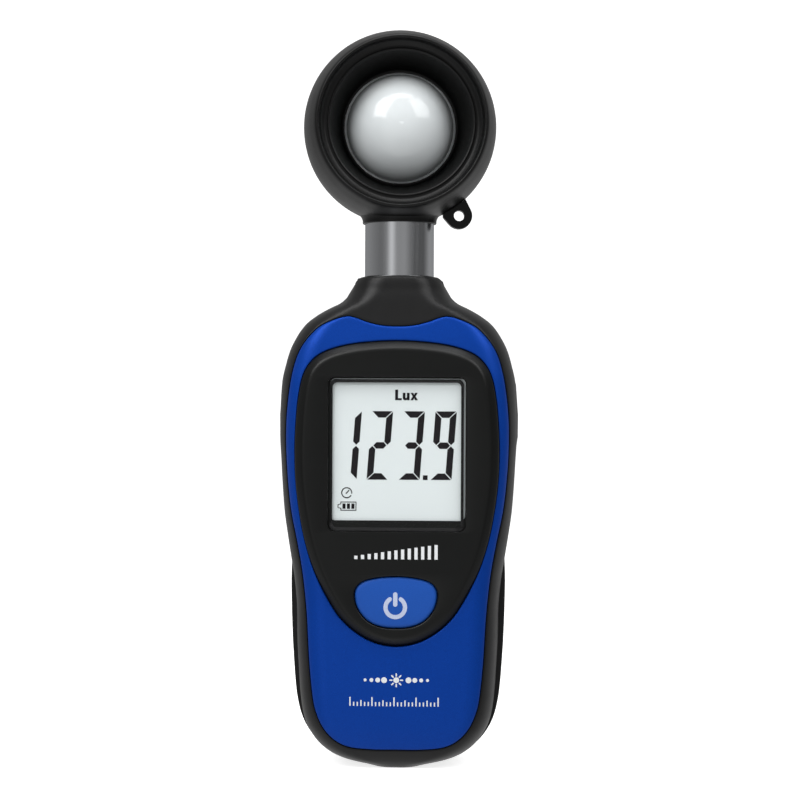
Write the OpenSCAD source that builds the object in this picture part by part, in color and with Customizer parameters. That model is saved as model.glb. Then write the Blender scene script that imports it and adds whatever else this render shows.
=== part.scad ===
// Handheld light meter: a domed light sensor in a turning head, on a steel
// stem, above a two-shell body with a display, a power key and three AAA cells.
// X is the width, +Y points out of the back, Z is the length. The origin is
// under the middle of the foot. All sizes are in millimetres.

/* [Body] */
// Widest width of the body
body_w = 52.2; // [50.6:0.2:53.4]
// Wall thickness of the rear housing
wall = 2.0; // [1.6:0.1:2.2]
// Wall thickness of the front housing, with the seat of the faceplate in it
front_wall = 2.8; // [2.6:0.1:3.0]
// Thickness of the coloured faceplate
plate_t = 1.2; // [0.9:0.1:1.3]
// Gap between parts that fit in each other
fit_gap = 0.1; // [0.06:0.01:0.12]

/* [Display] */
// Width of the display window
window_w = 28.6; // [27:0.2:28.8]
// Height of the display window
window_h = 32.3; // [31:0.1:32.4]
// Thickness of the display window
window_t = 0.8; // [0.6:0.1:0.9]

/* [Power key] */
// Travel of the power key
key_travel = 0.6; // [0.3:0.1:0.7]

/* [Battery] */
// Diameter of a battery cell
cell_d = 10.4; // [10:0.1:10.5]
// Length of a battery cell with its terminal
cell_l = 44.5; // [43.9:0.1:44.6]

/* [Stem] */
// Outer diameter of the steel stem
stem_d = 15.1; // [14.6:0.1:15.1]
// Wall thickness of the steel stem
stem_wall = 0.6; // [0.5:0.1:0.8]
// Radial running clearance of the stem in its bush
stem_play = 0.05; // [0.03:0.01:0.08]

/* [Head] */
// Angle that the head is turned by, about the stem
head_turn = 4; // [-30:1:30]
// Outer radius of the light dome
dome_r = 11.7; // [11.2:0.1:11.8]
// Wall thickness of the light dome
dome_wall = 1.2; // [0.9:0.1:1.5]
// Diameter of the strap eye
eye_d = 2.3; // [1.8:0.1:2.6]

/* [Hidden] */
$fn = 48;

neck_z = 106;        // top of the neck
back_y = 13;         // flat back
head_z = 138.6;        // centre of the head
stem_r = stem_d / 2;
kw = body_w / 52.2;  // width factor of the outlines
board_y0 = -4.8;     // front face of the main board
board_y1 = -3.2;     // back face of the main board
key_z = 36.1;        // centre of the switch

// Half-widths of the two shells and their depths from the parting plane,
// against height.
front_w = [[0, 5.6], [0.4, 7.2], [1, 9.9], [1.8, 12.6], [3, 15.0], [4.6, 17.0],
  [6.6, 18.6], [9, 19.9], [12, 20.7], [16, 21.2], [22, 21.6], [28, 21.9],
  [34, 22.0], [40, 22.5], [45, 23.3], [50, 24.1], [55, 24.8], [60, 25.2],
  [66, 25.55], [72, 25.85], [78, 25.75], [83, 25.45], [87, 24.6], [90, 23.7],
  [93, 22.2], [95.5, 20.4], [97.5, 17.9], [99, 15.3], [100.3, 12.7],
  [101.5, 11.4], [103, 10.35], [104.6, 9.75], [105.6, 9.3], [106, 8.75]];
rear_w = [[0, 5.8], [0.4, 7.5], [1, 10.4], [1.8, 13.1], [3, 15.5], [4.6, 17.5],
  [6.6, 19.2], [9, 20.6], [12, 21.6], [16, 22.3], [22, 22.8], [28, 23.15],
  [34, 23.35], [40, 23.45], [45, 23.3], [50, 23.2], [55, 23.4], [60, 24.1],
  [66, 25.3], [72, 26.1], [78, 26.1], [83, 25.6], [87, 24.7], [90, 23.7],
  [93, 22.2], [95.5, 20.4], [97.5, 17.9], [99, 15.3], [100.3, 12.7],
  [101.5, 11.4], [103, 10.35], [104.6, 9.75], [105.6, 9.3], [106, 8.75]];
front_d = [[0, 6.6], [0.4, 7.3], [1, 8.0], [1.8, 8.7], [3, 9.4], [4.6, 10.0],
  [6.6, 10.5], [9, 10.9], [12, 11.2], [16, 11.4], [22, 11.5], [84, 11.5],
  [90, 11.3], [95.5, 10.8], [99, 10.3], [101.5, 9.9], [103, 9.6],
  [104.6, 9.4], [105.6, 9.1], [106, 8.6]];
rear_d = [[0, 6.6], [0.4, 7.4], [1, 8.4], [1.8, 9.4], [3, 10.4], [4.6, 11.3],
  [6.6, 12.0], [9, 12.5], [12, 12.85], [16, 13], [76, 13], [83, 12.8],
  [87, 12.5], [90, 12.1], [93, 11.6], [95.5, 11.1], [99, 10.4],
  [101.5, 9.9], [103, 9.6], [104.6, 9.4], [105.6, 9.1], [106, 8.6]];
levels = [for (p = front_w) p[0]];

// Right halves of the front outlines, from the top centre to the bottom centre.
plate_half = [[0, 94.9], [3.4, 95.1], [6.4, 95.8], [9.2, 96.8], [11, 97],
  [13.8, 96.2], [17.1, 94.5], [20.1, 91.2], [21.8, 87.7], [23, 82.6],
  [23.8, 75.8], [23.9, 69], [23.5, 62], [22.7, 55.3], [21.3, 48.5],
  [20.1, 41.6], [19.2, 33], [18.6, 23], [17.9, 16], [17.2, 12.6],
  [15.7, 9.2], [13.3, 6.5], [10, 4.9], [5, 4.4], [0, 4.4]];
bezel_half = [[0, 91.8], [5, 91.6], [10, 91], [14, 90], [16.8, 88.7],
  [18.8, 86.8], [20.2, 84], [21.1, 79.5], [21.6, 74], [21.8, 68.5],
  [21.6, 62], [20.8, 55.4], [19.4, 48.5], [17.1, 41.7], [13.5, 34.9],
  [10.8, 31.5], [7.5, 28.9], [4, 27.3], [0, 26.7]];
key_half = [[0, 41.6], [4, 41.3], [7, 40.5], [8.5, 39], [8.7, 37],
  [7.9, 34.5], [5.9, 32.2], [3.2, 31], [0, 30.7]];

// Smooth monotone reading of a table of [place, value].
function slot_of(T, z, i = 0) = (i >= len(T) - 2 || z < T[i + 1][0]) ? i : slot_of(T, z, i + 1);
function secant(T, i) = (T[i + 1][1] - T[i][1]) / (T[i + 1][0] - T[i][0]);
function slope(T, i) = i == 0 ? secant(T, 0) : i == len(T) - 1 ? secant(T, i - 1)
  : let (a = secant(T, i - 1), b = secant(T, i)) a * b <= 0 ? 0 : 2 * a * b / (a + b);
function at(T, zz) = let (z = min(max(zz, T[0][0]), T[len(T) - 1][0]), i = slot_of(T, z),
  h = T[i + 1][0] - T[i][0], t = (z - T[i][0]) / h, t2 = t * t, t3 = t2 * t)
  (2 * t3 - 3 * t2 + 1) * T[i][1] + (t3 - 2 * t2 + t) * h * slope(T, i)
  + (3 * t2 - 2 * t3) * T[i + 1][1] + (t3 - t2) * h * slope(T, i + 1);

// Size at height z of a table whose solid is moved inwards by off.
function inset(T, z, off) = off <= 0 ? at(T, z) - off
  : min(at(T, z) - off, at(T, z - off), at(T, z + off));

// One half section: a side corner, the crowned face and the other corner.
nc = 5;
nf = 4;
function section(w, d, rx, crown) = concat(
  [for (i = [0:nc]) let (a = 90 * i / nc) [w - rx + rx * pow(max(cos(a), 0), 0.85), d * pow(sin(a), 0.85)]],
  [for (i = [1:nf - 1]) let (u = 1 - 2 * i / nf) [(w - rx) * u, d + crown * (1 - u * u)]],
  [for (i = [nc:-1:0]) let (a = 90 * i / nc) [-(w - rx + rx * pow(max(cos(a), 0), 0.85)), d * pow(sin(a), 0.85)]]);
function ring(front, z, off) = let (
  w = inset(front ? front_w : rear_w, z, off) * kw,
  d = inset(front ? front_d : rear_d, z, off),
  rx = min(front ? 7.5 : 6.5, w * 0.9),
  crown = front ? 0.4 * min(1, max(0, (97 - z) / 10), z / 8) : 0)
  [for (p = section(w, d, rx, crown)) [p[0], p[1], z]];

module half_loft(front, off) {
  z0 = off > 0 ? off : 0;
  zs = concat([z0], [for (z = levels) if (z > z0 + 0.1) z]);
  n = 2 * nc + nf + 1;
  m = len(zs);
  points = [for (z = zs) each ring(front, z, off)];
  sides = [for (i = [0:m - 2]) for (k = [0:n - 1]) let (j = (k + 1) % n)
    each [[i * n + k, (i + 1) * n + k, (i + 1) * n + j], [i * n + k, (i + 1) * n + j, i * n + j]]];
  polyhedron(points, concat([[for (k = [0:n - 1]) k]], sides, [[for (k = [n - 1:-1:0]) (m - 1) * n + k]]));
}
module loft(front, off) { if (front) mirror([0, 1, 0]) half_loft(true, off); else half_loft(false, off); }

// Smooth closed outline through the half points and their mirror.
function whole(H) = concat(H, [for (i = [len(H) - 2:-1:1]) [-H[i][0], H[i][1]]]);
function bend(a, b, c, d, t) = 0.5 * (2 * b + (c - a) * t + (2 * a - 5 * b + 4 * c - d) * t * t
  + (3 * b - a - 3 * c + d) * t * t * t);
function smooth(P, k) = let (n = len(P)) [for (i = [0:n - 1]) for (s = [0:k - 1])
  bend(P[(i + n - 1) % n], P[i], P[(i + 1) % n], P[(i + 2) % n], s / k)];
module outline(H, grow = 0, k = 2) {
  if (grow == 0) polygon(smooth(whole(H), k));
  else offset(delta = grow) polygon(smooth(whole(H), k));
}

// Front-view shapes made solid from ya to yb, and other placed primitives.
module slab(ya, yb) { translate([0, yb, 0]) rotate([90, 0, 0]) linear_extrude(yb - ya) children(); }
module ycyl(x, z, ya, yb, r) { translate([x, yb, z]) rotate([90, 0, 0]) cylinder(r = r, h = yb - ya); }
module zcyl(z0, z1, r) { translate([0, 0, z0]) cylinder(r = r, h = z1 - z0); }
module blk(x0, x1, y0, y1, z0, z1) { translate([x0, y0, z0]) cube([x1 - x0, y1 - y0, z1 - z0]); }
module round_rect(x0, x1, z0, z1, r) {
  translate([x0 + r, z0]) square([x1 - x0 - 2 * r, z1 - z0]);
  translate([x0, z0 + r]) square([x1 - x0, z1 - z0 - 2 * r]);
  for (x = [x0 + r, x1 - r]) for (z = [z0 + r, z1 - r]) translate([x, z]) circle(r);
}
// A cross-head screw along Y: its head at y, its point at y - len.
module screw(x, z, y, r, len, head_r, head_h) {
  difference() {
    union() { ycyl(x, z, y - len, y, r); ycyl(x, z, y, y + head_h, head_r); }
    blk(x - head_r * 0.6, x + head_r * 0.6, y + head_h * 0.45, y + head_h + 1, z - 0.25, z + 0.25);
    blk(x - 0.25, x + 0.25, y + head_h * 0.45, y + head_h + 1, z - head_r * 0.6, z + head_r * 0.6);
  }
}
// A round lead through a list of points.
module lead(P, r) {
  for (i = [0:len(P) - 2]) let (v = P[i + 1] - P[i], l = norm(v))
    translate(P[i]) rotate([0, acos(v[2] / l), atan2(v[1], v[0])]) cylinder(r = r, h = l, $fn = 24);
  if (len(P) > 2) for (i = [1:len(P) - 2]) translate(P[i]) sphere(r * 1.08, $fn = 24);
}
module in_head() { rotate([0, 0, head_turn]) translate([0, 0, head_z]) children(); }
// Turned about the head's own axis: h runs forwards out of the front.
module turned() { rotate([90, 0, 0]) rotate_extrude($fn = 72) children(); }

shell_screws = [[16.5, 90.8], [-16.5, 90.8], [11, 6.2], [-11, 6.2]];
board_posts = [[14, 24.5], [-14, 24.5], [14, 44.6], [-14, 44.6]];
pegs = [[6.5, 93.6], [-6.5, 93.6], [14, 92], [-14, 92], [12, 20], [-12, 20], [12, 9], [-12, 9]];
head_posts = [[0, 17], [-14.72, -8.5], [14.72, -8.5]];
cells_x = [-10.6, 0, 10.6];
cell_y = 5.9;
cell_z0 = 14.2;

// ---- Body shells ----

module front_housing() color("#1b1b1d") {
  difference() {
    union() {
      difference() {
        loft(true, 0);
        intersection() {
          difference() { loft(true, -0.6); loft(true, plate_t + fit_gap); }
          slab(-16, -3) outline(plate_half, fit_gap);
        }
        loft(true, front_wall);
        slab(-16, -9.5) outline(bezel_half, fit_gap);
        slab(-16, -1) outline(bezel_half, -1.5);
      }
      intersection() {
        union() {
          for (p = shell_screws) {
            ycyl(p[0], p[1], -10.4, 0, 2.4);
            hull() { ycyl(p[0], p[1], -8.6, -0.6, 0.5); ycyl(p[0] + sign(p[0]) * 4.5, p[1], -8.6, -0.6, 0.5); }
            hull() { ycyl(p[0], p[1], -8.6, -0.6, 0.5); ycyl(p[0], p[1] + (p[1] > 50 ? 5.5 : -5), -8.6, -0.6, 0.5); }
          }
          for (i = [0:1]) ycyl(board_posts[i][0], board_posts[i][1], -10.4, board_y0, 2.1);
          blk(-12.5, 12.5, -10.6, 0, 96.2, 106);
        }
        loft(true, 2);
        blk(-40, 40, -30, 0, 0, 104);
      }
    }
    for (p = shell_screws) ycyl(p[0], p[1], -8.4, 1, 1.3, $fn = 24);
    for (i = [0:1]) ycyl(board_posts[i][0], board_posts[i][1], -8.6, 0, 0.95, $fn = 20);
    for (p = pegs) ycyl(p[0], p[1], -13, -8.9, 0.95, $fn = 16);
    zcyl(99.9, 104.5, stem_r + 0.9);
    difference() {
      zcyl(96, 100.9, 9.05);
      intersection() {
        zcyl(97.3, 98.9, 12);
        linear_extrude(110) polygon([[0, 0], [-7, -12], [7, -12]]);
      }
    }
    zcyl(96, 100.9, 8.6);
    zcyl(104.4, 107, stem_r + 0.25);
  }
}

module rear_housing() color("#1b1b1d") {
  difference() {
    union() {
      difference() {
        loft(false, 0);
        loft(false, wall);
      }
      intersection() {
        union() {
          for (p = shell_screws) {
            ycyl(p[0], p[1], 0, 13, 2.5);
            ycyl(p[0], p[1], 7, 13, 3.4);
            hull() { ycyl(p[0], p[1], 0.6, 10, 0.5); ycyl(p[0] + sign(p[0]) * 5, p[1], 0.6, 10, 0.5); }
            hull() { ycyl(p[0], p[1], 0.6, 10, 0.5); ycyl(p[0], p[1] + (p[1] > 50 ? 6 : -5), 0.6, 10, 0.5); }
          }
          blk(-12.5, 12.5, 0, 10.6, 96.2, 106);
          blk(-16.9, 16.9, 0, 12, 10, 62);
        }
        loft(false, 0.6);
        blk(-40, 40, 0, 30, 0, 106);
      }
      blk(-16.9, 16.9, -0.6, 0.01, 10, 62);
    }
    blk(-16.05, 16.05, 0.5, 14, 10.9, 61.1);
    slab(11.6, 14) round_rect(-17.5, 17.5, 9.3, 62.7, 4.1, $fn = 32);
    for (p = shell_screws) {
      ycyl(p[0], p[1], -1, 14, 1.4, $fn = 24);
      ycyl(p[0], p[1], 8.6, 14, 2.5, $fn = 24);
    }
    zcyl(99.9, 104.5, stem_r + 0.9);
    zcyl(96, 100.9, 9.05);
    zcyl(104.4, 107, stem_r + 0.25);
    for (x = [-10.6, 10.6]) ycyl(x, x < 0 ? 59.6 : 12.4, -2, 1, 0.8, $fn = 16);
    for (x = [-4.9, 4.9]) blk(x - 1.6, x + 1.6, 10.5, 12.2, 60, 63.4);
  }
}

module faceplate() color("#1a479c") {
  difference() {
    union() {
      intersection() {
        difference() { loft(true, 0); loft(true, plate_t); }
        slab(-16, -3) outline(plate_half);
      }
      for (p = pegs) hull() {
        ycyl(p[0], p[1], -10.7, -9.6, 0.75, $fn = 16);
        ycyl(p[0], p[1], -9.6, -9.2, 0.5, $fn = 16);
      }
    }
    slab(-16, -1) outline(bezel_half, fit_gap);
  }
}

module battery_door() color("#1b1b1d") {
  difference() {
    union() {
      intersection() {
        loft(false, 0);
        slab(11.6, 14) round_rect(-17.4, 17.4, 9.4, 62.6, 4, $fn = 32);
      }
      for (x = [-4.9, 4.9]) blk(x - 1.4, x + 1.4, 10.7, 11.8, 60.2, 61.0);
      for (x = [-15.6, 14.8]) blk(x, x + 0.8, 9.6, 11.8, 20, 52);
    }
    for (i = [0:8]) hull() {
      ycyl(-6 + 0.35 * i, 57.4 - i * 1.2, 12.6, 14, 0.3, $fn = 12);
      ycyl(6 - 0.35 * i, 57.4 - i * 1.2, 12.6, 14, 0.3, $fn = 12);
    }
  }
}

module door_foam() color("#3a3a3c") slab(11.2, 11.6) round_rect(-13.5, 13.5, 20, 50, 1);

// ---- Display and key ----

module display_bezel() color("#151517") {
  difference() {
    union() {
      slab(-11.1, -9.5) outline(bezel_half);
      hull() {
        slab(-11.2, -11.1) outline(bezel_half);
        slab(-13, -12.9) outline(bezel_half, -1.9);
      }
      for (i = [2:3]) ycyl(board_posts[i][0], board_posts[i][1], -11.4, board_y0, 1.9);
    }
    slab(-14, -11.7) round_rect(-window_w / 2 - fit_gap, window_w / 2 + fit_gap, 67.45 - window_h / 2 - fit_gap, 67.45 + window_h / 2 + fit_gap, 1.4);
    slab(-13, -11) round_rect(-13.7, 13.7, 52, 82.9, 1);
    slab(-11.25, -9) round_rect(-17.2, 17.2, 47.8, 87.2, 3);
    slab(-14, -9) outline(key_half, 0.15, 3);
    slab(-11.25, -9) outline(key_half, 1.2, 2);
    for (i = [2:3]) ycyl(board_posts[i][0], board_posts[i][1], -9.5, -4, 0.95);
  }
}
module display_window() color("#dfe9ea", 0.35) slab(-11.78 - window_t, -11.78)
  round_rect(-window_w / 2, window_w / 2, 67.45 - window_h / 2, 67.45 + window_h / 2, 1.3);
module window_tape() color("#222222") slab(-11.78, -11.7) difference() {
  round_rect(-window_w / 2, window_w / 2, 67.45 - window_h / 2, 67.45 + window_h / 2, 1.3);
  round_rect(-13.7, 13.7, 52, 82.9, 1);
}
module lcd_glass() color("#dfe7ea") slab(-11.2, -8.8) round_rect(-16.2, 16.2, 49, 86, 0.4);
module lcd_frame() color("#e8e8e4") {
  slab(-11.2, -7) difference() {
    round_rect(-17, 17, 48, 87, 2.4);
    round_rect(-16.3, 16.3, 48.9, 86.1, 0.4);
  }
  for (x = [-16.65, 16.65]) for (z = [56, 79]) blk(x - 0.35, x + 0.35, -7.05, board_y0, z - 2, z + 2);
}
module lcd_backlight() color("#f2f4f2") slab(-8.7, -7.2) round_rect(-16, 16, 52, 83.2, 0.6);
module zebra_strips() color("#c9a0a0") for (z = [49.4, 83.6]) blk(-15, 15, -8.8, board_y0, z, z + 2);
module main_board() color("#1f6b3a") difference() {
  slab(board_y0, board_y1) difference() {
    round_rect(-17.2, 17.2, 22, 88, 1.5);
    for (p = board_posts) translate(p) circle(1.15);
  }
}
module measuring_chip() color("#101012") {
  blk(-6, 6, board_y1, -1.5, 60, 72);
  for (i = [0:9]) for (s = [-1, 1]) {
    blk(s * 6.8 - 0.8, s * 6.8 + 0.8, board_y1, board_y1 + 0.3, 61.4 + i, 61.8 + i);
  }
}
module board_components() color("#b8a070") {
  for (i = [0:4]) blk(-14 + i * 3, -12.4 + i * 3, board_y1, board_y1 + 0.7, 52, 52.9);
  for (i = [0:3]) blk(9.5, 11.3, board_y1, board_y1 + 1, 60 + i * 3, 61.2 + i * 3);
  for (x = [-12, -7]) ycyl(x, 40, board_y1, -1, 1.9);
  blk(8, 12, board_y1, -2, 34, 37);
}
module quartz_crystal() color("#c8ccd0") translate([-11.5, board_y1 + 1.05, 63]) cylinder(r = 1.05, h = 6.2);
module calibration_trimmer() color("#2a58b8") {
  blk(-3, 3, board_y1, -1.2, 44, 50);
  difference() { ycyl(0, 47, -1.2, -0.8, 1.4); blk(-1.1, 1.1, -1, 0, 46.8, 47.2); }
}
module switch_body() color("#242426") difference() {
  blk(-3, 3, -8.3, board_y0, key_z - 3, key_z + 3);
  ycyl(0, key_z, -8.4, -6.2, 1.85);
}
module board_screws() color("#c0c2c4")
  for (p = board_posts) screw(p[0], p[1], board_y1, 0.9, 5, 1.75, 0.9);
module lead_socket() color("#e6e2d6") difference() {
  blk(-4, 4, board_y1, 0.6, 79, 84.6);
  blk(-3.3, 3.3, -2.6, 0, 80.6, 85);
}
module lead_plug() color("#d8d4c8") blk(-3.2, 3.2, -2.5, -0.1, 80.7, 87.4);
module sensor_lead_lower() color("#4a4a4c")
  lead([[0, -1.3, 87.4], [0, -1.3, 89.6], [0, 0, 92.2], [0, 0, 96.6]], 1.1);

module power_key() color("#1f57b0") {
  slab(-12.3, -11.0) outline(key_half, 0, 3);
  hull() {
    slab(-12.35, -12.3) outline(key_half, 0, 3);
    slab(-12.9, -12.85) outline(key_half, -0.7, 3);
  }
  slab(-11.2, -10.3) outline(key_half, 0.95, 2);
  ycyl(0, key_z, -10.4, -9.35, 2.4);
}
module switch_plunger() color("#e8e8e8") ycyl(0, key_z, -9.35, -7.0, 1.75);

// ---- Battery ----

module battery_cells() color("#c9a227") for (i = [0:2]) {
  up = i != 1;
  translate([cells_x[i], cell_y, cell_z0]) {
    translate([0, 0, up ? 0 : 1]) cylinder(r = cell_d / 2, h = cell_l - 1);
    translate([0, 0, up ? cell_l - 1 : 0]) cylinder(r = 1.9, h = 1);
  }
}
module battery_springs() color("#c0c2c4") for (i = [0:2]) {
  top = i == 1;
  translate([cells_x[i], cell_y, top ? 60.4 : 11.6]) mirror([0, 0, top ? 1 : 0]) {
    for (k = [0:2]) translate([0, 0, 0.22 + (top ? 0.6 : 1.04) * k]) rotate_extrude() translate([3.4 - 0.2 * k, 0]) circle(0.22, $fn = 16);
    translate([3.05, -0.15, 0.1]) cube([0.3, 0.3, top ? 1.3 : 2.2]);
  }
}
module battery_contacts() color("#c8cacc") {
  blk(-14.4, -6.8, 1.6, 10.2, 58.9, 59.3);
  blk(-3.8, 14.4, 1.6, 10.2, 60.4, 60.8);
  blk(6.8, 14.4, 3.6, 8.2, 58.9, 60.4);
  blk(-14.4, 3.8, 1.6, 10.2, 11.2, 11.6);
  blk(-3.8, 3.8, 3.6, 8.2, 11.6, 14.0);
  blk(6.8, 14.4, 1.6, 10.2, 11.2, 11.6);
}
module battery_leads() color("#b02a22") {
  lead([[-10.6, 1.6, 59.6], [-10.6, -1.7, 59.6], [-10.6, -1.7, 61.4], [-10.6, -3.2, 61.4]], 0.5);
  lead([[10.6, 1.6, 12.4], [10.6, -1.7, 12.4], [10.6, -1.7, 23.4], [10.6, -3.2, 23.4]], 0.5);
}
module housing_screws() color("#8c8e90")
  for (p = shell_screws) screw(p[0], p[1], 8.6, 1.2, 16, 2.3, 1.5);

// ---- Stem ----

module stem_bush() color("#e4e2d8") difference() {
  union() { zcyl(100, 104.4, stem_r + 0.8); zcyl(100, 100.8, 8.95); }
  zcyl(99, 107, stem_r + stem_play);
}
module stem_washer() color("#c8cacc") difference() {
  zcyl(99.5, 100, 8.5);
  zcyl(99, 101, stem_r + 0.15);
}
module stem_tube() color("#c4c6c8") difference() {
  union() { zcyl(96.6, 121.4, stem_r); zcyl(120.4, 121.4, 8.5); }
  zcyl(96, 122, stem_r - stem_wall);
}
module stem_collar() color("#8c8e90") rotate([0, 0, head_turn]) difference() {
  union() {
    zcyl(97.5, 99.42, 8.45);
    intersection() {
      zcyl(97.5, 98.7, 8.95);
      blk(-1.8, 1.8, 0, 12, 97, 99);
    }
  }
  zcyl(97, 100, stem_r);
}
module sensor_lead_upper() color("#4a4a4c") rotate([0, 0, head_turn])
  lead([[0, 0, 96.6], [0, 0, 121.5], [0, 6, 125.2], [0, 6, 131], [0, 4.2, 131]], 1.1);

// ---- Head ----

module collar_form() translate([0, 0, -head_z]) rotate_extrude($fn = 72)
  polygon([[0, 117.6], [7.95, 117.6], [8.05, 117.7], [8.1, 118.3], [8.3, 118.9], [8.7, 119.5], [9.3, 120.1], [9.3, 122.2], [0, 122.2]]);
module collar_bore() translate([0, 0, -head_z]) {
  zcyl(117, 123, stem_r + 0.05);
  zcyl(120.35, 121.45, 8.55);
}
module hood_ring() color("#18181a") in_head() difference() {
  union() {
    turned() polygon([[21, 0], [20.98, 1.5], [20.85, 3.2], [20.6, 5], [20.2, 7], [19.7, 9], [19.1, 10.9],
      [18.75, 11.9], [18.45, 12.5], [18.1, 12.8], [17.75, 12.65], [17.6, 12.1], [17.3, 11.1],
      [16.5, 10.35], [16, 10.3], [15.7, 10.45], [15.4, 10.3], [15.25, 9.9], [14.9, 8.6],
      [13.9, 5], [12.95, 1.6], [12.6, 1], [12.1, 0.9], [12.1, 0], [13.7, 0], [14.6, 3.2],
      [15.6, 7], [16, 8.9], [17.3, 9.2], [18, 8.6], [18.8, 5], [19.2, 2], [19.3, 0]]);
    intersection() { collar_form(); blk(-12, 12, -9.1, 0, -22, -16.8); }
    for (p = head_posts) ycyl(p[0], p[1], -6.6, 0, 1.9);
  }
  rotate([0, 56.1, 0]) { blk(18.6, 23, -1.85, 1, -2.25, 2.25); blk(18.2, 19.22, -1.85, 1, -2.5, 3.1); }
  for (p = head_posts) ycyl(p[0], p[1], -5.6, 1, 1.05);
  collar_bore();
}
module strap_eyelet() color("#18181a") in_head() difference() {
  union() {
    difference() {
      slab(-2.4, -0.2) hull() {
        translate([12.9, -19.2]) circle(2.85);
        translate([10.1, -15.05]) circle(3.5);
      }
      ycyl(0, 0, -3, 1, 21.08);
      blk(5, 9.4, -3, 1, -24, -17);
    }
    rotate([0, 56.1, 0]) {
      blk(18.3, 19.15, -1.8, 0, -2.4, 3);
      blk(19, 21.6, -1.8, 0, -2.2, 2.2);
    }
  }
  ycyl(12.9, -19.2, -3, 1, eye_d / 2);
}
module head_rear_shell() color("#18181a") in_head() difference() {
  union() {
    turned() polygon([[21, 0], [20.95, -2], [20.7, -4.2], [20.1, -6.4], [19, -8.6], [17.4, -10.6],
      [15.4, -12], [13.2, -12.8], [11, -13], [0, -13], [0, -11.2], [11, -11.2], [12.9, -11],
      [14.6, -10.4], [16.2, -9.3], [17.5, -7.8], [18.4, -5.8], [18.9, -3.8], [19.2, -1.8], [19.3, 0]]);
    intersection() { collar_form(); blk(-12, 12, 0, 9.1, -22, -16.8); }
    for (p = head_posts) ycyl(p[0], p[1], 0, 8.4, 2.1);
    for (a = [30, 150, 270]) rotate([0, a, 0]) blk(-0.6, 0.6, 4.3, 11.6, 8.5, 10.5);
  }
  for (p = head_posts) {
    ycyl(p[0], p[1], -1, 14, 1.15);
    ycyl(p[0], p[1], 6.6, 14, 2.3);
  }
  collar_bore();
}
module light_dome() color("#e9ecee") in_head() turned() {
  difference() {
    translate([0, -0.3]) circle(dome_r, $fn = 96);
    translate([0, -0.3]) circle(dome_r - dome_wall, $fn = 96);
    translate([-30, -30]) square([30, 60]);
    translate([-1, -31.05]) square([40, 30]);
  }
  translate([dome_r - dome_wall + 0.02, -1.05]) square([13.4 - dome_r + dome_wall - 0.02, 1]);
}
module dome_clamp_ring() color("#d8d8d4") in_head() difference() {
  ycyl(0, 0, 1.05, 3.2, 13.4);
  ycyl(0, 0, 0, 4, 10.6);
}
module filter_holder() color("#202022") in_head() difference() {
  ycyl(0, 0, 0.9, 3.2, 10.3);
  ycyl(0, 0, 0, 1.9, 4.3);
  ycyl(0, 0, 0, 4, 3.6);
}
module optical_filter() color("#7fae6a", 0.6) in_head() ycyl(0, 0, 0.9, 1.9, 4.2);
module photodiode() color("#30343c") in_head() blk(-2.4, 2.4, 1.95, 3.2, -2.4, 2.4);
module sensor_board() color("#1f6b3a") in_head() ycyl(0, 0, 3.2, 4.2, 12.6);
module head_screws() color("#8c8e90") in_head()
  for (p = head_posts) screw(p[0], p[1], 6.6, 1, 11.6, 2.1, 1.3);

front_housing();
rear_housing();
faceplate();
display_bezel();
display_window();
window_tape();
lcd_glass();
lcd_frame();
lcd_backlight();
zebra_strips();
main_board();
measuring_chip();
board_components();
quartz_crystal();
calibration_trimmer();
switch_body();
board_screws();
lead_socket();
lead_plug();
battery_cells();
battery_springs();
battery_contacts();
battery_leads();
housing_screws();
stem_bush();
stem_washer();
sensor_lead_lower();
hood_ring();
strap_eyelet();
head_rear_shell();
light_dome();
dome_clamp_ring();
filter_holder();
optical_filter();
photodiode();
sensor_board();
head_screws();
stem_tube();
stem_collar();
sensor_lead_upper();
power_key();
switch_plunger();
battery_door();
door_foam();
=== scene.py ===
import math

import bmesh
import bpy
import numpy as np
from mathutils import Matrix, Quaternion, Vector
from mathutils.geometry import tessellate_polygon


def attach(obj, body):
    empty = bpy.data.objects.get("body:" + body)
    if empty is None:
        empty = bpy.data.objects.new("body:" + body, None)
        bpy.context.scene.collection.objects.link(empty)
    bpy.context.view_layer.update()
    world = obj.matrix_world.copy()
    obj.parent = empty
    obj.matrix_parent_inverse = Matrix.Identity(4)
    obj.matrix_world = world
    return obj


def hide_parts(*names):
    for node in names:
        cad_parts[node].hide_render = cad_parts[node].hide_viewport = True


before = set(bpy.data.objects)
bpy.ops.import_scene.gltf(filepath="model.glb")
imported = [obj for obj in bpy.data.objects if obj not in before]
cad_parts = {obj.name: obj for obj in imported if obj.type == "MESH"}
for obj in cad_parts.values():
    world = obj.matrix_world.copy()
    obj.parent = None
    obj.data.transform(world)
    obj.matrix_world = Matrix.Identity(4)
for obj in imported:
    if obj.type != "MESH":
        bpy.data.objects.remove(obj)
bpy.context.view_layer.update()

MM = 0.001
TURN = math.radians(7)
HEAD_Z = 139.0

# ---------------------------------------------------------------- tables (mm)

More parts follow.
